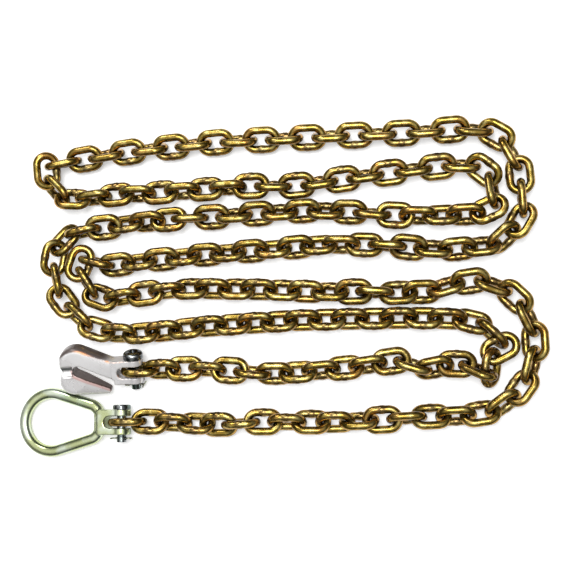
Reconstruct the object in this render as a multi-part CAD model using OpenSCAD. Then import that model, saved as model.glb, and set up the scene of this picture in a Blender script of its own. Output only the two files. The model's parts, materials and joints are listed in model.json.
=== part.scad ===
// A length of short-link transport chain laid out in eight runs, with a pear ring held by a clevis
// at one end and a winged grab hook held by a clevis at the other. Millimetres, floor at z = 0.

/* [Chain] */
// Wire diameter of a link
link_wire = 8; // [7:0.5:8.5]
// Inside length of a link
link_pitch = 24; // [23:0.5:26]
// Outside width of a link
link_width = 27.6; // [27:0.2:30]
// Free play between two links pulled tight
link_play = 0.25; // [0.1:0.05:0.6]
// Height of the weld ridge over the wire
weld_height = 0.45; // [0:0.05:0.8]
// Length of the weld ridge
weld_length = 6.4; // [3:0.2:8]

/* [Pear ring] */
// Wire diameter of the ring
ring_wire = 11.5; // [9:0.5:12]
// Radius of the wide end, to the middle of the wire
ring_radius = 29.2; // [26:0.2:34]
// Radius of the two corners at the neck, to the middle of the wire
ring_corner = 11.75; // [9:0.25:14]
// Straight side between the wide end and each corner
ring_side = 37; // [32:0.5:40]
// Lean of each side in toward the pin end, degrees
ring_taper = 17; // [15:0.5:20]
// From the middle of the wide end to the load pin
ring_pin_at = 76; // [73:0.5:80]

/* [Grab hook] */
// Width of the narrow throat
throat = 11; // [10:0.5:13]
// Slope of the throat against the line of pull, degrees
throat_slope = 28; // [24:1:34]
// Thickness of the shank and the point
hook_thick = 15; // [12:0.5:17]
// Thickness over the wings
wing_thick = 19; // [16:0.5:24]
// Rotation of the hook about its load pin, degrees
hook_lift = 4; // [0:0.5:12]

/* [Clevises and load pins] */
// Gap between the two ears
ear_gap = 12; // [10:0.5:13]
// Width over the two ears
ear_width = 25; // [23:0.5:27]
// Radius of the ear ends
ear_radius = 9.25; // [8:0.25:10]
// Diameter of a load pin
pin_size = 9.5; // [8:0.25:10]
// Clearance of the pin in the ears, on the diameter
pin_play = 0.6; // [0.3:0.1:1]
// Wire of a split pin
split_wire = 1.6; // [1.2:0.1:2]

/* [Layout] */
// The chain's places drawn in by this factor, which leaves the chain a little slack
route_fit = 0.992; // [0.99:0.001:1]
// The most slack that one link takes
give = 0.7; // [0.7:0.05:2]
// The least slack where one length of chain hangs in the next
loose = 0.7; // [0:0.05:0.7]
// The most that a bend is steered back to its place, degrees
steer = 12; // [0:1:15]

// Number of links
link_count = 167;
// Move of the whole assembly that puts its box on the frame
shift = [18.813, -3.358, 0.531];

// [link number, x, y, roll of the odd links about their own length]
route = [
  [1, -168, -130, 90], [2, -144, -129, 66], [3, -121, -130, 55], [5, -74, -132, 30], [6, -51, -131, 5], [7, -27, -129, -20],
  [10, 43, -129, -44], [12, 90, -127, -82], [14, 139, -123, -124], [16, 186, -120, -126],
  [17, 205, -108, -125], [18, 223, -93, -122], [19, 231, -73, -120], [20, 236, -50, -120], [21, 228, -27, -120], [22, 216, -7, -120],
  [23, 196, 3, -120], [24, 173, 5, -122], [26, 128, -2, -130], [27, 105, -2, -150], [28, 82, -3, -175], [29, 58, -1, -205],
  [30, 34, -1, -220], [32, -12, 2, -230], [36, -107, 5, -232], [37, -130, 4, -250], [38, -154, 1, -260], [39, -176, -4, -250],
  [40, -198, -1, -247], [41, -214, 8, -250], [42, -219, 26, -255], [43, -209, 29, -260], [44, -186, 31, -232],
  [48, -94, 39, -228], [52, 0, 45, -228], [53, 24, 47, -223], [54, 48, 48, -205], [55, 72, 47, -202], [56, 95, 45, -180], [57, 118, 43, -150],
  [58, 140, 40, -142], [59, 164, 41, -135], [60, 186, 42, -136], [61, 207, 54, -130], [62, 226, 71, -115], [63, 224.5, 93, -95],
  [64, 226, 114.5, -98], [65, 216, 135, -115], [66, 202, 152, -118], [67, 181, 157, -118], [68, 158, 159, -118], [72, 62, 158, -118],
  [78, -80, 156, -118], [82, -173, 149, -118], [84, -220, 143, -118], [85, -243, 139, -106], [86, -258, 129, -118], [87, -249, 109, -125],
  [88, -228, 104, -125], [89, -206, 102, -100], [90, -184, 103, -108], [94, -89, 107, -108], [95, -66, 108, -100], [96, -42, 109, -88],
  [97, -18, 109, -70], [98, 5, 108, -65], [99, 27, 110, -62], [101, 74, 116, -62], [104, 146, 123, -62], [105, 170, 123, -62], [106, 189, 117, -62],
  [107, 197, 98, -70], [108, 187.5, 79, -70], [109, 171, 75, -55], [110, 150, 74, -50], [111, 126, 76, -68], [112, 103, 75, -90], [113, 80, 77, -108],
  [114, 57, 80, -128], [116, 10, 82, -132], [118, -36, 80, -124], [119, -60, 79, -122], [120, -83, 78, -120], [121, -107, 77, -98], [122, -128, 76, -74],
  [123, -151, 75, -58], [124, -174, 73, -44], [125, -199, 70, -24], [126, -224.5, 67, 0], [127, -244.5, 54, 26], [128, -249, 35, 52],
  [129, -245, 14, 66], [130, -235, -8, 70], [131, -220, -25, 60], [132, -200, -36, 56], [133, -177, -39, 56], [134, -154, -39, 50],
  [137, -81, -33, 50], [141, 12, -28, 50], [146, 131, -27, 50], [147, 155, -28, 52], [148, 177, -33, 55],
  [149, 196, -46, 78], [150, 203, -63, 98], [151, 193, -74, 128], [152, 180, -74, 162], [153, 165, -74, 194], [154, 143, -74, 222], [155, 122, -74, 254],
  [156, 101, -73, 283], [157, 77, -74, 298], [159, 31, -78, 302], [160, 8, -80, 312], [161, -16, -81, 318], [162, -40, -81, 345],
  [163, -63, -79, 362], [164, -85, -77, 380], [165, -110, -76, 382], [166, -134, -77, 398], [167, -161, -78, 425], [168, -184, -78, 430]
];

// [link number, heading, slide back along the link before, slide back along itself]
bends = [
  [14, 4], [16, 12], [17, 34], [18, 55], [19, 76], [20, 95], [21, 115], [22, 136], [23, 160], [24, 180], [25, 190],
  [38, 190], [39, 186], [40, 166], [41, 112, 0.5], [42, 78, 0.3], [43, -2, 1.2, 0.7], [44, 5],
  [58, 0], [60, 4], [61, 34], [62, 58], [63, 84], [64, 98], [65, 118], [66, 146], [67, 172], [68, 180],
  [84, 190], [85, 195], [86, 268, 0, 1.8], [87, 318], [88, 345], [89, 4], [90, 6],
  [104, 4], [105, -8], [106, -40], [107, -84], [108, -146], [109, -175], [110, 180],
  [125, 187], [126, 205], [127, 236], [128, 262], [129, 282], [130, 302], [131, 318], [132, 345], [133, 358],
  [147, -5], [148, -10], [149, -40], [150, -164], [151, -92], [152, -192, 1.5], [153, 176], [154, 195], [155, 165], [156, 180]
];

// [link number, height above a link that lies on the floor]
rise = [
  [1, 0], [3, 0.3], [9, 0.3], [11, 1], [13, 0.3], [15, 0.8], [17, 3], [19, 1.8], [21, 2], [23, 2.1], [25, 0.8], [28, 1], [31, 0.2], [36, 0.4],
  [39, 0.8], [41, 3.3], [43, 4.5], [44, 2], [46, 0.2], [54, 0.4], [58, 0.5], [60, 2.8], [61, 5.2], [62, 3], [63, 3.2], [64, 0.8], [67, 2.6], [69, 0.3],
  [84, 0.3], [85, 1.9], [87, 1], [89, 2.5], [91, 0.5], [96, 0.2], [104, 0.5], [106, 3], [107, 5.9], [109, 2], [111, 1.6], [113, 0.5],
  [120, 0.4], [121, 1.2], [123, 0.3], [126, 1.2], [129, 4.1], [132, 1.5], [133, 2.4], [135, 0.4], [147, 0.2], [159, 0.4], [162, 1], [164, 0.3], [166, 1.4], [168, 1.6]
];

// First link of each length of chain that keeps its shape, with one past the last
firsts = [1, 5, 7, 12, 16, 20, 24, 29, 34, 38, 42, 46, 50, 55, 57, 62, 64, 68, 72, 76, 80, 84,
  89, 91, 95, 97, 101, 105, 109, 113, 117, 121, 123, 126, 131, 135, 139, 143, 147, 149, 154, 157, 161, 164, 166, 168];
lengths = len(firsts) - 1;

/* [Hidden] */
function named(i) = str("chain_", i < 10 ? "0" : "", i);
$fn = 48;

// Middle of a crown to the middle of its wire, and length of the straight legs
crown_r = (link_width - link_wire) / 2;
leg = link_pitch + link_wire - 2 * crown_r;

function unit(v) = v / norm(v);
function held(v, low, high) = min(max(v, low), high);
function along(k, column) = lookup(k, [for (r = route) [r[0], r[column]]]) * (column < 3 ? route_fit : 1);
function roll_of(k) = along(k, 3) + (k % 2 == 1 ? 0 : 90);
// Height of a link's middle when it rests on the floor, or on a neighbour that does
function lie(k) = let (r = roll_of(k)) link_wire / 2 + crown_r * max(abs(sin(r)), abs(cos(r))) + lookup(k, rise);
function spot(k) = [along(k, 1), along(k, 2), lie(k)];
function bent(k) = [for (b = bends) if (b[0] == k) b[1]];
function slid(k, column) = let (s = [for (b = bends) if (b[0] == k && len(b) > column) b[column]]) len(s) > 0 ? s[0] : 0;
function freed(k) = len(search(k, firsts)) > 0 ? loose : 0;
function aim(head, pitch) = [cos(head) * cos(pitch), sin(head) * cos(pitch), sin(pitch)];
function normal(head, pitch, roll) =
  let (side = [-sin(head), cos(head), 0], up = cross(aim(head, pitch), side)) cos(roll) * up - sin(roll) * side;
// Distance between the middles of two hooked crowns whose planes have the normals a and b
function reach(a, b) =
  let (c = abs(a * b), bite = pow((link_wire + link_play) / crown_r, 2) / (1 - c), slip = sqrt(max(0, 2 - bite) / (1 + c)))
  slip >= 1 ? 2 * crown_r - link_wire - link_play : crown_r * (1 + c) * slip;

// A laid link is [middle of its first crown, heading, pitch, roll]
function entry(k, last, head, pitch) =
  let (a = normal(last[1], last[2], last[3]), b = normal(head, pitch, roll_of(k)), q = unit(cross(a, b)),
       w = q * (aim(head, pitch) + aim(last[1], last[2])) > 0 ? q : -q)
  last[0] + (leg - slid(k, 2)) * aim(last[1], last[2]) + reach(a, b) * w
    - (slid(k, 3) + freed(k)) * aim(head, pitch);
function next(k, last) =
  let (way = spot(k + 1) - last[0] - (leg + crown_r) * aim(last[1], last[2]), told = bent(k),
       base = len(told) > 0 ? told[0] : atan2(way[1], way[0]),
       slope = atan2(lie(k + 1) - lie(k - 1), 2 * link_pitch),
       off = entry(k, last, base, slope) + leg / 2 * aim(base, slope) - spot(k),
       lead = off * aim(base, 0), side = off * [-sin(base), cos(base), 0],
       head = len(told) > 0 ? base - held(2 * side, -steer, steer) : base,
       pitch = slope - atan2(off[2], link_pitch))
  [entry(k, last, head, pitch) - held(lead, 0, give - freed(k)) * aim(head, pitch), head, pitch, roll_of(k)];
function chain(k, laid) = k > link_count ? laid : chain(k + 1, concat(laid, [next(k, laid[k - 2])]));
links = chain(2, [[spot(1) - [leg / 2, 0, 0], 2, 0, roll_of(1)]]);

// The pin of the ring stands in the first crown, the pin of the hook in the last one
first = links[0];
last = links[link_count - 1];
pin_in = 0;
ring_pin_place = first[0] + pin_in * aim(first[1], first[2]);
hook_pin_place = last[0] + (leg - pin_in) * aim(last[1], last[2]);
ring_tilt = asin((ring_pin_place[2] - 0.6 - ring_wire / 2) / (ring_pin_at + ring_radius));

module half_crown() {
  rotate_extrude(angle = 180) translate([crown_r, 0]) circle(d = link_wire);
}

// Middle of the first crown at the origin, length along x, flat in the xy plane
module link() {
  rotate(90) half_crown();
  translate([leg, 0, 0]) rotate(-90) half_crown();
  for (s = [-1, 1])
    translate([0, s * crown_r, 0]) rotate([0, 90, 0]) cylinder(d = link_wire, h = leg);
  translate([leg / 2, crown_r, 0]) rotate([0, 90, 0]) rotate_extrude()
    polygon([[0, -weld_length / 2], [link_wire / 2, -weld_length / 2], [link_wire / 2 + weld_height, -weld_length / 3],
      [link_wire / 2 + weld_height, weld_length / 3], [link_wire / 2, weld_length / 2], [0, weld_length / 2]]);
}

module chain_length(i) {
  for (k = [firsts[i - 1] : firsts[i] - 1]) {
    l = links[k - 1];
    translate(l[0]) rotate([l[3], -l[2], l[1]]) link();
  }
}

module at_ring() {
  translate(ring_pin_place - [0, 0, 0.6]) rotate([0, -ring_tilt, 0.6]) children();
}

// Local y along the pin, x out of the clevis toward the chain
module at_hook() {
  n = normal(last[1], last[2], last[3]);
  x = aim(last[1], last[2]);
  z = cross(-x, n);
  multmatrix([[-x[0], n[0], z[0], hook_pin_place[0]], [-x[1], n[1], z[1], hook_pin_place[1]], [-x[2], n[2], z[2], hook_pin_place[2]]])
    children();
}

module ear_slot() {
  translate([-10.6, 0, 0]) cylinder(d = ear_gap, h = 40, center = true);
  translate([-10.6, -ear_gap / 2, -20]) cube([40, ear_gap, 40]);
}

// Two ears round a pin along y, the block behind them reaching back to x = -back
module clevis(back, tall) {
  difference() {
    union() {
      rotate([90, 0, 0]) cylinder(r = ear_radius, h = ear_width, center = true);
      translate([-back, -ear_width / 2, -tall / 2]) cube([back, ear_width, tall]);
    }
    ear_slot();
    rotate([90, 0, 0]) cylinder(d = pin_size + pin_play, h = 60, center = true);
  }
}

// Pin along y with its head at +y, standing out of the other ear far enough for the split pin
module load_pin(head, thick, domed) {
  out = ear_width / 2;
  difference() {
    union() {
      translate([0, out + 0.4, 0]) rotate([90, 0, 0]) cylinder(d = pin_size, h = 2 * out + 0.8 + 7);
      translate([0, out + 0.4, 0]) rotate([-90, 0, 0]) rotate_extrude()
        polygon(concat([[0, 0], [head / 2, 0], [head / 2, thick * 0.55]],
          [for (a = [15 : 15 : 75]) [head / 2 - (1 - cos(a)) * (domed ? 4.5 : 1.5), thick * 0.55 + sin(a) * thick * 0.45]],
          [[head / 2 - (domed ? 4.5 : 1.5), thick], [0, thick]]));
    }
    if (domed) translate([0, out + 0.4 + thick - 1.6, 0]) rotate([-90, 0, 0]) cylinder(d = 7, h = 4);
    translate([0, -out - 3.6, 0]) cylinder(d = 2 * split_wire + 0.5, h = 20, center = true);
  }
}

// Split pin through the pin end: an eye on one side, two legs bent apart round the pin on the other
module split_pin() {
  half = split_wire / 2 - 0.1;
  translate([0, -ear_width / 2 - 3.6, 0]) rotate(90) {
    for (s = [-1, 1]) translate([0, s * half, -6.5]) {
      cylinder(d = split_wire, h = 12.8, $fn = 24);
      translate([0, s * 2, 0]) rotate([0, 90, 0]) rotate(s > 0 ? -90 : 0) rotate_extrude(angle = 90, $fn = 24)
        translate([2, 0]) circle(d = split_wire, $fn = 24);
      translate([0, s * 2, -2]) rotate([-s * 90, 0, 0]) cylinder(d = split_wire, h = 4, $fn = 24);
    }
    translate([0, 0, 8.6]) rotate([0, 90, 0]) rotate_extrude($fn = 32) translate([2.7, 0]) circle(d = split_wire, $fn = 24);
  }
}

// Pear of round wire in the xy plane, its pin at the origin and its wide end toward -x
module pear_ring() {
  drop = ring_radius - ring_corner;
  corner_x = ring_side * cos(ring_taper) + drop * sin(ring_taper);
  corner_y = drop * cos(ring_taper) - ring_side * sin(ring_taper);
  bar = corner_x + ring_corner;
  translate([-ring_pin_at, 0, 0]) {
    rotate(90 - ring_taper) rotate_extrude(angle = 180 + 2 * ring_taper, $fn = 96) translate([ring_radius, 0]) circle(d = ring_wire);
    for (s = [-1, 1]) mirror([0, s < 0 ? 1 : 0, 0]) {
      rotate(-ring_taper) translate([0, ring_radius, 0]) rotate([0, 90, 0]) cylinder(d = ring_wire, h = ring_side);
      translate([corner_x, corner_y, 0]) rotate_extrude(angle = 90 - ring_taper, $fn = 96) translate([ring_corner, 0]) circle(d = ring_wire);
    }
    translate([bar, 0, 0]) rotate([90, 0, 0]) cylinder(d = ring_wire, h = 2 * corner_y, center = true);
    translate([bar - 3.4, -7, 0]) cube([6.8, 14, ring_wire / 2 + 0.9]);
    for (s = [-1, 1]) translate([bar, s * 7, 0]) cylinder(r = 3.4, h = ring_wire / 2 + 0.9);
  }
  clevis(ring_pin_at - bar, 2 * ear_radius - 2);
}

// Disc with rounded edges
module pad(r, thick, edge) {
  rotate_extrude($fn = 40) {
    translate([0, -thick / 2]) square([r - edge, thick]);
    translate([0, -thick / 2 + edge]) square([r, thick - 2 * edge]);
    for (s = [-1, 1]) translate([r - edge, s * (thick / 2 - edge)]) circle(r = edge, $fn = 24);
  }
}

// Profile in the xy plane: shank above the throat, point below it, wings at the closed end
module grab_hook() {
  rotate([0, hook_lift, 0]) {
    difference() {
      union() {
        hull() {
          translate([-57, 12, 0]) pad(17, wing_thick, 5);
          translate([-20, 1.5, 0]) pad(10.5, hook_thick, 4);
        }
        hull() {
          translate([-60, -7, 0]) pad(15, wing_thick, 5);
          translate([-29, -19, 0]) pad(4.5, hook_thick - 5, 2);
        }
        translate([-22, -ear_width / 2, -8.5]) cube([12, ear_width, 17]);
      }
      translate([-54.5, 4.5, 0]) rotate(-throat_slope) {
        cylinder(d = throat, h = 60, center = true);
        translate([0, -throat / 2, -30]) cube([60, throat, 60]);
      }
      for (s = [-1, 1]) translate([-60.5, 4.5, s * 10.5]) rotate([0, -90, 0]) cylinder(r = 6, h = 30);
      ear_slot();
    }
    clevis(20, 17);
  }
}

translate(shift) {
  for (i = [1 : lengths])
    chain_length(i);
  at_ring() pear_ring();
  at_ring() rotate([0, 80, 0]) load_pin(18, 4.5, false);  // ring_load_pin
  at_ring() rotate([0, 80, 0]) split_pin();  // ring_split_pin
  at_hook() grab_hook();
  at_hook() rotate([0, -92, 0]) load_pin(20, 7, true);  // hook_load_pin
  at_hook() rotate([0, -92, 0]) split_pin();  // hook_split_pin
}
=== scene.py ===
import json

import bmesh
import bpy
import numpy as np
from mathutils import Matrix, Vector


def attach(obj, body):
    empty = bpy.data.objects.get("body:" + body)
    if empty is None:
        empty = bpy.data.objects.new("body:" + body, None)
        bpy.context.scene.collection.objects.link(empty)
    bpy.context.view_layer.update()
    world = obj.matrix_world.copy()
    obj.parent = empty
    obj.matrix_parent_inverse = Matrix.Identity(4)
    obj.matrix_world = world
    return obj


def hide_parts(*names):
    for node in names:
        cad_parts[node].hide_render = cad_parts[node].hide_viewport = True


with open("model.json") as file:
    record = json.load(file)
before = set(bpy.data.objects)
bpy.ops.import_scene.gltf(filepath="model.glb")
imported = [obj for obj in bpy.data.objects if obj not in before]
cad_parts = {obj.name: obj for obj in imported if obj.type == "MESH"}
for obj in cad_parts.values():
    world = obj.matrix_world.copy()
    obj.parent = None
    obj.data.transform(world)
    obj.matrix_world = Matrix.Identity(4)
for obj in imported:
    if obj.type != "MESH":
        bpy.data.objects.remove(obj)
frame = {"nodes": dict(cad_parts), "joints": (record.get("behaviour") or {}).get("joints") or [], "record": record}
scene = bpy.context.scene
scene.view_settings.view_transform = "Standard"
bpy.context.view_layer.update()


# Camera: high over the chain, leaning a little to the right and toward the lower edge

view = {
    "target": (0.0188, -0.0039, 0.013),
    "toward": (0.1344, -0.0991, 0.986),
    "distance": 0.9,
    "halfWidth": 0.29055,  # metres from the middle of the picture to its edge, at the target
    "sensor": 36,  # millimetres
}


def makeCamera(seen):
    lens = bpy.data.cameras.new("overhead")
    lens.sensor_width = seen["sensor"]
    lens.lens = seen["sensor"] / 2 * seen["distance"] / seen["halfWidth"]
    camera = bpy.data.objects.new("overhead", lens)
    scene.collection.objects.link(camera)
    target, back = Vector(seen["target"]), Vector(seen["toward"]).normalized()
    camera.location = target + back * seen["distance"]
    right = (-back).cross(Vector((0, 1, 0))).normalized()
    up = right.cross(-back)
    camera.rotation_mode = "QUATERNION"
    camera.rotation_quaternion = Matrix((right, up, back)).transposed().to_quaternion()
    scene.camera = camera


makeCamera(view)
print("camera set")


# Node helpers

def put(tree, kind, feeds=None, **settings):
    node = tree.nodes.new(kind)
    for name, value in settings.items():
        setattr(node, name, value)
    for key, value in (feeds or {}).items():
        if isinstance(value, bpy.types.NodeSocket):
            tree.links.new(value, node.inputs[key])
        else:
            node.inputs[key].default_value = value
    return node


def maths(tree, operation, *values):
    return put(tree, "ShaderNodeMath", dict(enumerate(values)), operation=operation).outputs[0]


def ease(tree, value, low, high):  # 0 at low, 1 at high, smooth between
    feeds = {"Value": value, "From Min": low, "From Max": high}
    return put(tree, "ShaderNodeMapRange", feeds, interpolation_type="SMOOTHSTEP").outputs["Result"]


def noise(tree, place, scale, detail):
    feeds = {"Vector": place, "Scale": scale, "Detail": detail}
    return put(tree, "ShaderNodeTexNoise", feeds).outputs["Fac"]


def mixed(tree, amount, under, over):  # colours are sockets or triples
    ends = [end if isinstance(end, bpy.types.NodeSocket) else (*end, 1.0) for end in (under, over)]
    return put(tree, "ShaderNodeMix", {0: amount, 6: ends[0], 7: ends[1]}, data_type="RGBA").outputs[2]


def upward(tree, vector):
    return put(tree, "ShaderNodeSeparateXYZ", {0: vector}).outputs["Z"]


def mark(tree, name):
    return put(tree, "ShaderNodeAttribute", attribute_name=name).outputs["Fac"]


# Metals: each has a clean and a pale plating, a tint in wide clouds, and marks read from the meshes: weld stains,
# random link tones, and painted shade, highlights and reflections

metals = {
    "chainPlating": {
        "body": (0.33, 0.22, 0.035), "pale": (0.62, 0.50, 0.17), "tint": (0.55, 0.25, 0.06),
        "patch": 150, "metallic": 0.95, "rough": (0.15, 0.32), "bump": 0.16, "pits": 900,
        "marks": {
            "linkTone": ((0.20, 0.135, 0.035), 0.55),
            # painted shade: dark colour on the wire's side-facing surfaces
            "flankShade": ((0.050, 0.034, 0.008), 0.92),
            # amber film tint in patches, placed on the mid-slopes as a painted warm reflection
            "amberFilmSheen": ((0.80, 0.40, 0.07), 0.6),
            "weldMark": ((0.13, 0.085, 0.05), 0.55),
            # painted shade inside the crowns, where the links meet
            "crownShade": ((0.022, 0.015, 0.006), 0.85),
        },
    },
    "ringPlating": {
        "body": (0.60, 0.66, 0.34), "pale": (0.80, 0.88, 0.70), "tint": (0.36, 0.62, 0.54),
        "patch": 55, "metallic": 0.8, "rough": (0.18, 0.36), "bump": 0.14, "pits": 700,
        # painted shade: a dark band on the upper slopes, and darker side-facing surfaces
        "marks": {"shadeLine": ((0.05, 0.085, 0.06), 0.8), "flankShade": ((0.16, 0.20, 0.07), 0.6)},
    },
    "hookPlating": {
        "body": (0.90, 0.88, 0.88), "pale": (0.97, 0.96, 0.96), "tint": (0.90, 0.80, 0.80),
        "patch": 40, "metallic": 0.35, "rough": (0.20, 0.36), "bump": 0.08, "pits": 700,
        "marks": {
            # painted shade on the back edge
            "backEdge": ((0.085, 0.055, 0.045), 0.92),
            # painted coppery highlight on the back edge past the throat
            "copperHighlight": ((0.75, 0.33, 0.15), 0.9),
            # painted shade on the side-facing surfaces
            "flankShade": ((0.05, 0.045, 0.045), 0.85),
            # painted shade in the notch between the wings
            "notchShade": ((0.035, 0.045, 0.04), 0.9),
            # painted shade on the throat's walls
            "throatWallShade": ((0.085, 0.048, 0.038), 0.94),
            # painted pink reflection on the band outside the throat's walls
            "throatRimReflection": ((0.80, 0.48, 0.44), 0.8),
        },
    },
    "pinSteel": {
        "body": (0.15, 0.16, 0.17), "pale": (0.42, 0.45, 0.44), "tint": (0.10, 0.17, 0.13),
        "patch": 170, "metallic": 1.0, "rough": (0.14, 0.30), "bump": 0.08, "pits": 1200, "marks": {},
    },
    "splitPinSteel": {
        "body": (0.42, 0.42, 0.33), "pale": (0.62, 0.64, 0.52), "tint": (0.30, 0.38, 0.27),
        "patch": 200, "metallic": 1.0, "rough": (0.2, 0.4), "bump": 0.05, "pits": 1500, "marks": {},
    },
}


# a pair says from which value of the noise a change starts, and at which it is full
clouds = {
    "detail": {"patch": 4.0, "tint": 2.0, "pits": 3.0},
    "pale": (0.42, 0.66),
    "tint": (0.5, 0.7),
    "tintScale": 0.35,  # of the scale of the pale patches
    "tintShare": 0.55,
    # the amber film tint, also a painted warm reflection, and the painted coppery highlight show in patches only
    "patchyMarks": ("amberFilmSheen", "copperHighlight"),  # marks that show in places only
    "patchBounds": (0.38, 0.56),
    "dull": (0.3, 0.7),
    "pitDepth": 0.0004,
}


def makeMetal(name, look):
    material = bpy.data.materials.new(name)
    material.use_nodes = True
    tree = material.node_tree
    shader = tree.nodes["Principled BSDF"]
    place = put(tree, "ShaderNodeTexCoord").outputs["Object"]
    detail = clouds["detail"]
    cloud = noise(tree, place, look["patch"], detail["patch"])
    wide = noise(tree, place, look["patch"] * clouds["tintScale"], detail["tint"])
    wide = maths(tree, "MULTIPLY", ease(tree, wide, *clouds["tint"]), clouds["tintShare"])
    colour = mixed(tree, ease(tree, cloud, *clouds["pale"]), look["body"], look["pale"])
    colour = mixed(tree, wide, colour, look["tint"])
    for label, (stain, share) in look["marks"].items():
        amount = maths(tree, "MULTIPLY", mark(tree, label), share)
        if label in clouds["patchyMarks"]:
            amount = maths(tree, "MULTIPLY", amount, ease(tree, cloud, *clouds["patchBounds"]))
        colour = mixed(tree, amount, colour, stain)
    tree.links.new(colour, shader.inputs["Base Color"])
    polished, dull = look["rough"]
    rough = maths(tree, "MULTIPLY_ADD", ease(tree, cloud, *clouds["dull"]), dull - polished, polished)
    tree.links.new(rough, shader.inputs["Roughness"])
    shader.inputs["Metallic"].default_value = look["metallic"]
    pits = noise(tree, place, look["pits"], detail["pits"])
    feeds = {"Height": pits, "Strength": look["bump"], "Distance": clouds["pitDepth"]}
    tree.links.new(put(tree, "ShaderNodeBump", feeds).outputs["Normal"], shader.inputs["Normal"])
    return material


finish = {name: makeMetal(name, look) for name, look in metals.items()}
print("metals made:", ", ".join(finish))


# Links: one link is swept in Geometry Nodes and set on the places of the laid chain

linkSize = {
    "Wire": 0.008,
    "Pitch": 0.024,
    "Width": 0.0276,
    "Weld Height": 0.00045,
    "Weld Length": 0.0064,
    "Around": 18,
    "Along": 64,
}

# bounds of the marks on a link: (where the mark starts, where it is full)
linkMarks = {
    "weldStain": (0.95, 0.35),  # shares of the weld's length from its middle
    "weldRidge": (0.5, 0.3),
    # bounds of the painted shade inside the crowns
    "bearing": (0.1, 0.6),  # shares of the crown's radius past the leg
    # bounds of the painted shade on the side-facing wire
    "flankShade": (0.84, 0.3),  # upward part of the surface's normal
    # bounds of the amber film tint on the mid-slopes, a painted warm reflection
    "amberSheenBelow": (0.18, 0.4),
    "amberSheenAbove": (0.74, 0.5),
}

pathSteps = 62  # of the circle that a link's wire path is drawn from
samePoint = 1e-6  # metres, corners nearer than this are one


def stored(tree, geometry, name, value, domain="POINT"):
    feeds = {"Geometry": geometry, "Name": name, "Value": value}
    return put(tree, "GeometryNodeStoreNamedAttribute", feeds, data_type="FLOAT", domain=domain).outputs[0]


def linkSweep(tree, given):
    crown = maths(tree, "MULTIPLY", maths(tree, "SUBTRACT", given["Width"], given["Wire"]), 0.5)
    leg = maths(tree, "ADD", given["Pitch"], given["Wire"])
    half = maths(tree, "MULTIPLY_ADD", leg, 0.5, maths(tree, "MULTIPLY", crown, -1.0))

    # a round wire path whose two halves are drawn apart by the straight legs
    circle = {"Radius": crown, "Resolution": pathSteps}
    ring = put(tree, "GeometryNodeCurvePrimitiveCircle", circle).outputs["Curve"]
    where = put(tree, "GeometryNodeInputPosition").outputs[0]
    side = maths(tree, "SIGN", put(tree, "ShaderNodeSeparateXYZ", {0: where}).outputs["X"])
    apart = put(tree, "ShaderNodeCombineXYZ", {"X": maths(tree, "MULTIPLY", side, half)}).outputs[0]
    path = put(tree, "GeometryNodeSetPosition", {"Geometry": ring, "Offset": apart}).outputs[0]
    path = put(tree, "GeometryNodeResampleCurve", {"Curve": path, "Count": given["Along"]}).outputs[0]
    section = {"Radius": maths(tree, "MULTIPLY", given["Wire"], 0.5), "Resolution": given["Around"]}
    section = put(tree, "GeometryNodeCurvePrimitiveCircle", section).outputs["Curve"]
    wire = put(tree, "GeometryNodeCurveToMesh", {"Curve": path, "Profile Curve": section}).outputs[0]
    return wire, crown, half


def weldAndCrownShade(tree, given, wire, crown, half):
    at = put(tree, "ShaderNodeSeparateXYZ", {0: put(tree, "GeometryNodeInputPosition").outputs[0]}).outputs
    far = maths(tree, "ABSOLUTE", at["X"])

    def weld(shares):  # half way along the leg on +y
        ends = [maths(tree, "MULTIPLY", given["Weld Length"], share) for share in shares]
        return maths(tree, "MULTIPLY", maths(tree, "GREATER_THAN", at["Y"], 0.0), ease(tree, far, *ends))

    marked = stored(tree, wire, "weldMark", weld(linkMarks["weldStain"]))

    # painted shade where the next link bears: the inner side of each crown
    past = maths(tree, "SUBTRACT", far, half)
    square = maths(tree, "MULTIPLY_ADD", past, past, maths(tree, "MULTIPLY", at["Y"], at["Y"]))
    bore = maths(tree, "MULTIPLY_ADD", given["Wire"], -0.5, crown)
    inner = ease(tree, maths(tree, "SQRT", square), crown, bore)
    tip = ease(tree, maths(tree, "DIVIDE", past, crown), *linkMarks["bearing"])
    marked = stored(tree, marked, "crownShade", maths(tree, "MULTIPLY", inner, tip))

    out = {0: put(tree, "GeometryNodeInputNormal").outputs[0]}
    out["Scale"] = maths(tree, "MULTIPLY", weld(linkMarks["weldRidge"]), given["Weld Height"])
    out = put(tree, "ShaderNodeVectorMath", out, operation="SCALE").outputs[0]
    return put(tree, "GeometryNodeSetPosition", {"Geometry": marked, "Offset": out}).outputs[0]


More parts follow.
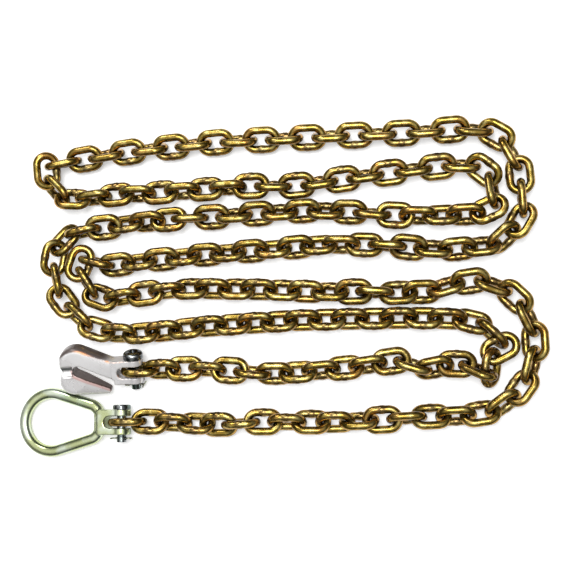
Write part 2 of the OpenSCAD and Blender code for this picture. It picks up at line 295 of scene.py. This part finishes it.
def linkTree():
    tree = bpy.data.node_groups.new("linkRun", "GeometryNodeTree")
    face = tree.interface
    face.new_socket("Places", in_out="INPUT", socket_type="NodeSocketGeometry")
    for name, value in linkSize.items():
        kind = "NodeSocketInt" if isinstance(value, int) else "NodeSocketFloat"
        face.new_socket(name, in_out="INPUT", socket_type=kind).default_value = value
    face.new_socket("Seed", in_out="INPUT", socket_type="NodeSocketInt")
    face.new_socket("Plating", in_out="INPUT", socket_type="NodeSocketMaterial")
    face.new_socket("Links", in_out="OUTPUT", socket_type="NodeSocketGeometry")
    given = put(tree, "NodeGroupInput").outputs
    link = weldAndCrownShade(tree, given, *linkSweep(tree, given))

    def told(name):
        node = put(tree, "GeometryNodeInputNamedAttribute", {"Name": name}, data_type="FLOAT_VECTOR")
        return node.outputs["Attribute"]

    axes = {"Primary Axis": told("lengthwise"), "Secondary Axis": told("flatwise")}
    turn = put(tree, "FunctionNodeAxesToRotation", axes, primary_axis="X", secondary_axis="Z").outputs[0]
    feeds = {"Points": given["Places"], "Instance": link, "Rotation": turn}
    run = put(tree, "GeometryNodeInstanceOnPoints", feeds).outputs[0]
    chance = put(tree, "FunctionNodeRandomValue", {"Seed": given["Seed"]}, data_type="FLOAT").outputs[1]
    run = stored(tree, run, "linkTone", chance, domain="INSTANCE")
    run = put(tree, "GeometryNodeRealizeInstances", {"Geometry": run}).outputs[0]
    facing = upward(tree, put(tree, "GeometryNodeInputNormal").outputs[0])
    # painted shade on the side-facing wire
    run = stored(tree, run, "flankShade", ease(tree, facing, *linkMarks["flankShade"]))
    # amber film tint on the mid-slopes, a painted warm reflection
    amberFilmSheen = [ease(tree, facing, *linkMarks[side]) for side in ("amberSheenBelow", "amberSheenAbove")]
    run = stored(tree, run, "amberFilmSheen", maths(tree, "MULTIPLY", *amberFilmSheen))
    run = put(tree, "GeometryNodeSetShadeSmooth", {"Geometry": run}).outputs[0]
    run = put(tree, "GeometryNodeSetMaterial", {"Geometry": run, "Material": given["Plating"]}).outputs[0]
    put(tree, "NodeGroupOutput", {"Links": run})
    return tree


def islandTree():
    tree = bpy.data.node_groups.new("solids", "GeometryNodeTree")
    tree.interface.new_socket("Geometry", in_out="INPUT", socket_type="NodeSocketGeometry")
    tree.interface.new_socket("Geometry", in_out="OUTPUT", socket_type="NodeSocketGeometry")
    given = put(tree, "NodeGroupInput").outputs
    feeds = {"Geometry": given["Geometry"], "Distance": samePoint}
    whole = put(tree, "GeometryNodeMergeByDistance", feeds).outputs[0]
    island = put(tree, "GeometryNodeInputMeshIsland").outputs["Island Index"]
    feeds = {"Geometry": whole, "Name": "solid", "Value": island}
    told = put(tree, "GeometryNodeStoreNamedAttribute", feeds, data_type="INT", domain="POINT").outputs[0]
    put(tree, "NodeGroupOutput", {"Geometry": told})
    return tree


def evaluated(piece):
    graph = bpy.context.evaluated_depsgraph_get()
    return bpy.data.meshes.new_from_object(piece.evaluated_get(graph))


def meshNumbers(mesh, what, kind, width=1):
    numbers = np.empty(len(what) * width, np.int32 if kind in ("value", "vertices") else np.float32)
    what.foreach_get(kind, numbers)
    return numbers.reshape(-1, width) if width > 1 else numbers


def linkAxes(tri, own):
    # middle and axes of one link, from the spread of its surface and the weld on its +y leg
    area = np.linalg.norm(np.cross(tri[:, 1] - tri[:, 0], tri[:, 2] - tri[:, 0]), axis=1) / 2
    middle = (tri.mean(1) * area[:, None]).sum(0) / area.sum()
    tri = tri - middle
    total = tri.sum(1)
    spread = np.einsum("t,ti,tj->ij", area, total, total) + np.einsum("t,tki,tkj->ij", area, tri, tri)
    thin, _, long = np.linalg.eigh(spread)[1].T
    across = np.cross(thin, long)
    reach = (own - middle) @ across
    if reach.max() + reach.min() < 0:
        long, across, reach = -long, -across, -reach
    along = (own - middle) @ long
    shift = long * (along.max() + along.min()) / 2 + across * (reach.min() + linkSize["Width"] / 2)
    return middle + shift, long, np.cross(long, across)


def linkPlaces(node, solids):
    probe = bpy.data.objects.new("probe", node.data)
    scene.collection.objects.link(probe)
    probe.modifiers.new("solids", "NODES").node_group = solids
    mesh = evaluated(probe)
    bpy.data.objects.remove(probe)
    mesh.calc_loop_triangles()
    points = meshNumbers(mesh, mesh.vertices, "co", 3).astype(float)
    corners = meshNumbers(mesh, mesh.loop_triangles, "vertices", 3)
    solid = meshNumbers(mesh, mesh.attributes["solid"].data, "value")
    bpy.data.meshes.remove(mesh)
    faces = solid[corners[:, 0]]
    return [linkAxes(points[corners[faces == one]], points[solid == one]) for one in np.unique(solid)]


def placesMesh(places):
    mesh = bpy.data.meshes.new("places")
    mesh.from_pydata([tuple(place[0]) for place in places], [], [])
    for label, column in (("lengthwise", 1), ("flatwise", 2)):
        axes = np.array([place[column] for place in places], np.float32).ravel()
        mesh.attributes.new(label, "FLOAT_VECTOR", "POINT").data.foreach_set("vector", axes)
    return mesh


def layLinks():
    tree, solids = linkTree(), islandTree()
    inputs = [item for item in tree.interface.items_tree if item.in_out == "INPUT"]
    sockets = {item.name: item.identifier for item in inputs}
    count = 0
    for number, name in enumerate(sorted(n for n in frame["nodes"] if n.startswith("chain_"))):
        places = linkPlaces(frame["nodes"][name], solids)
        mesh = placesMesh(places)
        run = bpy.data.objects.new(name.replace("chain", "links"), mesh)
        modifier = run.modifiers.new("links", "NODES")
        modifier.node_group = tree
        for label, value in linkSize.items():
            modifier[sockets[label]] = value
        modifier[sockets["Seed"]] = number
        modifier[sockets["Plating"]] = finish["chainPlating"]
        scene.collection.objects.link(run)
        made = evaluated(run)
        run.modifiers.clear()
        run.data = made
        bpy.data.meshes.remove(mesh)
        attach(run, name)
        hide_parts(name)
        count += len(places)
    print("links laid:", count)


layLinks()


# Ring and hook: the CAD form with the flow of a forging, and painted shade, highlights and reflections on its
# surface

forgings = {
    "pear_ring": {"piece": "pearRing", "metal": "ringPlating", "slot": "ring_plating", "flow": 12},
    "grab_hook": {"piece": "grabHook", "metal": "hookPlating", "slot": "hook_plating", "flow": 10},
}

skinGrain = 0.0006  # metres, the size of a facet of the forgings' skin

# bounds of the marks on both forgings, in the upward part of the normal: (start, full); all are painted shade, on
# the side-facing surfaces and in a band on the upper slopes
forgedMarks = {"flankShade": (0.4, 0.05), "shadeBelow": (0.5, 0.66), "shadeAbove": (0.92, 0.76)}

# painted shade, highlight and reflection on the hook: where each lies
hookPaintedLight = {
    "throatBack": -0.0045,  # metres along the throat's middle line, from the middle of its closed end
    "throatReach": 0.0078,  # metres from the throat's middle line over its walls and their rounding
    "wallFade": 0.0006,
    "wallFacing": (0.95, 0.85),
    # the pink band is a painted reflection
    "throatRimReflection": 0.0018,  # width of the pink band outside the walls
    "rimSide": (0.001, -0.003),
    "backFacing": (0.2, 0.45),
    "backAside": (0.015, 0.008),  # metres from the throat's closed end, where the back's shade ends
    # the coppery back edge is a painted highlight
    "copperFrom": -0.048,  # along the hook, from the pin, where the back edge turns coppery
    "copperFade": 0.012,
    "copperFacing": ((0.2, 0.35), (0.75, 0.5)),
    "notchFrom": -0.060,  # along the hook, where the notch between the wings begins
    "notchFade": 0.001,
    "notchAside": (0.0065, 0.00455),
    "notchFacing": (0.3, -0.2),
}


def smooth(value, low, high):
    share = np.clip((value - low) / (high - low), 0, 1)
    return share * share * (3 - 2 * share)


def hookLines():
    # places of the pin and the throat, then directions: into the throat's mouth, across the hook,
    # up from its flat face, and along it toward the chain
    swing = next(joint for joint in frame["joints"] if joint["name"] == "hook_swing")
    pin, across = np.array(swing["pos_m"]), np.array(swing["axis"])
    rooms = frame["record"]["physics"]["openings"]
    middles = {room["name"]: np.array(room["box_m"]).mean(0) for room in rooms}
    closed, mouth = middles["hook_throat_end"], middles["hook_throat_mouth"]
    lead = (mouth - closed) / np.linalg.norm(mouth - closed)
    facing = np.cross(across, lead)
    facing *= np.sign(facing[2]) / np.linalg.norm(facing)
    along = np.cross(across, facing)
    along *= np.sign(along[0])
    return pin, closed, lead, across, facing, along


def hookMarks(points, normals):
    pin, closed, lead, across, facing, along = hookLines()
    painted = hookPaintedLight

    # painted shade on the throat's walls, by their distance from its middle line, and a painted pink reflection on
    # the band outside them
    fromEnd = points - closed
    run = np.maximum(fromEnd @ lead, painted["throatBack"])
    off = fromEnd - run[:, None] * lead
    off -= (off @ facing)[:, None] * facing
    gap = np.linalg.norm(off, axis=1)
    wallShade = smooth(gap, painted["throatReach"] + painted["wallFade"], painted["throatReach"])
    wallShade *= smooth(np.abs(normals @ facing), *painted["wallFacing"])
    rimReflection = smooth(gap, painted["throatReach"] + painted["throatRimReflection"], painted["throatReach"])
    rimReflection *= smooth(off @ across, *painted["rimSide"])

    # painted shade on the back edge, a painted coppery highlight on it past the throat, and painted shade in the
    # notch between the wings
    place = points - pin
    reach = place @ along
    aside = np.abs(place @ across - (closed - pin) @ across)
    back = smooth(normals @ across, *painted["backFacing"]) * (1 - smooth(aside, *painted["backAside"]))
    copperHighlight = smooth(reach, painted["copperFrom"] - painted["copperFade"], painted["copperFrom"])
    for bounds in painted["copperFacing"]:
        copperHighlight = copperHighlight * smooth(normals @ across, *bounds)
    notchShade = smooth(reach, painted["notchFrom"] + painted["notchFade"], painted["notchFrom"] - painted["notchFade"])
    notchShade *= smooth(aside, *painted["notchAside"])
    notchShade *= smooth(normals @ across, *painted["notchFacing"])
    marks = {"throatWallShade": wallShade, "throatRimReflection": rimReflection * (1 - wallShade), "copperHighlight": copperHighlight}
    return {**marks, "notchShade": notchShade, "backEdge": back}


def forge(node, look):
    piece = bpy.data.objects.new(look["piece"], frame["nodes"][node].data.copy())
    scene.collection.objects.link(piece)
    skin = bmesh.new()
    skin.from_mesh(piece.data)
    bmesh.ops.remove_doubles(skin, verts=skin.verts, dist=samePoint)
    skin.to_mesh(piece.data)
    skin.free()
    remesh = piece.modifiers.new("skin", "REMESH")
    remesh.mode = "VOXEL"
    remesh.voxel_size = skinGrain
    remesh.use_smooth_shade = True
    flow = piece.modifiers.new("flow", "SMOOTH")
    flow.iterations = look["flow"]
    made = evaluated(piece)
    piece.modifiers.clear()
    piece.data = made
    points = meshNumbers(made, made.vertices, "co", 3)
    normals = meshNumbers(made, made.vertex_normals, "vector", 3)
    level = normals[:, 2]
    # painted shade: the side-facing surfaces, and a band on the upper slopes
    shade = smooth(level, *forgedMarks["shadeAbove"]) * smooth(level, *forgedMarks["shadeBelow"])
    marks = {"flankShade": smooth(level, *forgedMarks["flankShade"]), "shadeLine": shade}
    if node == "grab_hook":
        marks.update(hookMarks(points, normals))
    for label, amount in marks.items():
        made.attributes.new(label, "FLOAT", "POINT").data.foreach_set("value", amount.astype(np.float32))
    made.materials.clear()
    made.materials.append(finish[look["metal"]])
    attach(piece, node)
    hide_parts(node)


for node, look in forgings.items():
    forge(node, look)
print("forgings made")

for end in ("ring", "hook"):
    for part, metal in (("load_pin", "pinSteel"), ("split_pin", "splitPinSteel")):
        data = frame["nodes"][f"{end}_{part}"].data
        data.materials.clear()
        data.materials.append(finish[metal])
print("pins finished")


# Floor, world and lamps

studio = {
    "floor": {"colour": (0.96, 0.96, 0.96), "glow": 0.42, "rough": 0.9, "half": 4.0, "below": 0.0002},
    "world": {"zenith": 0.9, "horizon": 0.06, "from": 0.5, "to": 0.96},
    "lamps": {
        "overhead": {"place": (0.02, 0.12, 1.5), "size": 0.55, "power": 12},
        "back": {"place": (-0.55, 0.95, 0.95), "size": 0.45, "power": 5},
    },
}


def makeFloor(look):
    half, low = look["half"], -look["below"]
    mesh = bpy.data.meshes.new("floor")
    corners = [(-half, -half, low), (half, -half, low), (half, half, low), (-half, half, low)]
    mesh.from_pydata(corners, [], [(0, 1, 2, 3)])
    floor = bpy.data.objects.new("floor", mesh)
    scene.collection.objects.link(floor)
    paper = bpy.data.materials.new("paper")
    paper.use_nodes = True
    shader = paper.node_tree.nodes["Principled BSDF"]
    shader.inputs["Base Color"].default_value = (*look["colour"], 1)
    shader.inputs["Roughness"].default_value = look["rough"]
    shader.inputs["Emission Color"].default_value = (1, 1, 1, 1)
    rays = put(paper.node_tree, "ShaderNodeLightPath").outputs
    seen = maths(paper.node_tree, "MAXIMUM", rays["Is Camera Ray"], rays["Is Glossy Ray"])
    glow = maths(paper.node_tree, "MULTIPLY", seen, look["glow"])
    paper.node_tree.links.new(glow, shader.inputs["Emission Strength"])
    mesh.materials.append(paper)


def makeWorld(look):
    world = bpy.data.worlds.new("studio")
    world.use_nodes = True
    tree = world.node_tree
    height = upward(tree, put(tree, "ShaderNodeTexCoord").outputs["Generated"])
    rise = ease(tree, height, look["from"], look["to"])
    strength = maths(tree, "MULTIPLY_ADD", rise, look["zenith"] - look["horizon"], look["horizon"])
    tree.nodes["Background"].inputs["Color"].default_value = (1, 1, 1, 1)
    tree.links.new(strength, tree.nodes["Background"].inputs["Strength"])
    scene.world = world


def makeLamp(name, look):
    lamp = bpy.data.lights.new(name, "AREA")
    lamp.size = look["size"]
    lamp.energy = look["power"]
    box = bpy.data.objects.new(name, lamp)
    box.location = look["place"]
    box.rotation_mode = "QUATERNION"
    box.rotation_quaternion = Vector(look["place"]).to_track_quat("Z", "Y")
    scene.collection.objects.link(box)


makeFloor(studio["floor"])
makeWorld(studio["world"])
for name, look in studio["lamps"].items():
    makeLamp(name, look)
print("studio lit")
